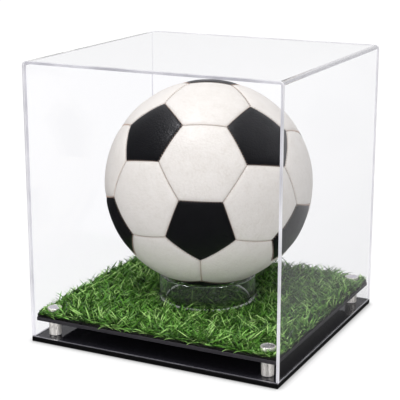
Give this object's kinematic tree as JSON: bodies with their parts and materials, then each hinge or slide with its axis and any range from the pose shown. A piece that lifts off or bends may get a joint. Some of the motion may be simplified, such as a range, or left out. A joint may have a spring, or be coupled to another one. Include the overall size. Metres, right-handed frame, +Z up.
{
  "type": "soccer ball display case",
  "caption": "Clear acrylic box with a lift-off cover on a black base, holding a black and white soccer ball on a clear ring over artificial turf.",
  "frame": {"origin": "centre of the base plate's underside", "axes": "+Z up, -Y towards the front panel, +X to the right of someone facing the front"},
  "size_m": [0.281, 0.27, 0.2969],
  "materials": {
    "clear_acrylic": "clear, polished",
    "black_acrylic": "gloss black",
    "satin_steel": "turned and brushed",
    "turf": "fine polyethylene blades",
    "white_leather": "fine-grained, stitched",
    "black_leather": "fine-grained, stitched",
    "rubber": "matt black"
  },
  "bodies": {
    "base": {"base_plate": "black_acrylic", "riser_plate": "black_acrylic", "turf_mat": "turf", "ball_ring": "clear_acrylic", "base_screw_1": "satin_steel", "base_screw_2": "satin_steel", "base_screw_3": "satin_steel", "base_screw_4": "satin_steel", "standoff_barrel_1": "satin_steel", "standoff_barrel_2": "satin_steel", "standoff_barrel_3": "satin_steel", "standoff_barrel_4": "satin_steel", "standoff_cap_1": "satin_steel", "standoff_cap_2": "satin_steel", "standoff_cap_3": "satin_steel", "standoff_cap_4": "satin_steel"},
    "cover": {"cover_wrap": "clear_acrylic", "cover_front": "clear_acrylic", "cover_back": "clear_acrylic"},
    "ball": {"ball_hexagon_01": "white_leather", "ball_hexagon_02": "white_leather", "ball_hexagon_03": "white_leather", "ball_hexagon_04": "white_leather", "ball_hexagon_05": "white_leather", "ball_hexagon_06": "white_leather", "ball_hexagon_07": "white_leather", "ball_hexagon_08": "white_leather", "ball_hexagon_09": "white_leather", "ball_hexagon_10": "white_leather", "ball_hexagon_11": "white_leather", "ball_hexagon_12": "white_leather", "ball_hexagon_13": "white_leather", "ball_hexagon_14": "white_leather", "ball_hexagon_15": "white_leather", "ball_hexagon_16": "white_leather", "ball_hexagon_17": "white_leather", "ball_hexagon_18": "white_leather", "ball_hexagon_19": "white_leather", "ball_hexagon_20": "white_leather", "ball_pentagon_01": "black_leather", "ball_pentagon_02": "black_leather", "ball_pentagon_03": "black_leather", "ball_pentagon_04": "black_leather", "ball_pentagon_05": "black_leather", "ball_pentagon_06": "black_leather", "ball_pentagon_07": "black_leather", "ball_pentagon_08": "black_leather", "ball_pentagon_09": "black_leather", "ball_pentagon_10": "black_leather", "ball_pentagon_11": "black_leather", "ball_pentagon_12": "black_leather", "ball_bladder": "rubber", "ball_valve": "rubber"}
  },
  "joints": [
    {"name": "cover_lift", "type": "slide", "parent": "base", "child": "cover", "axis": [0, 0, 1], "range_m": [0, 0.3]},
    {"name": "ball_turn", "type": "hinge", "parent": "base", "child": "ball", "pos_m": [0, 0, 0.15772], "axis": [0, 0, 1], "continuous": true}
  ]
}
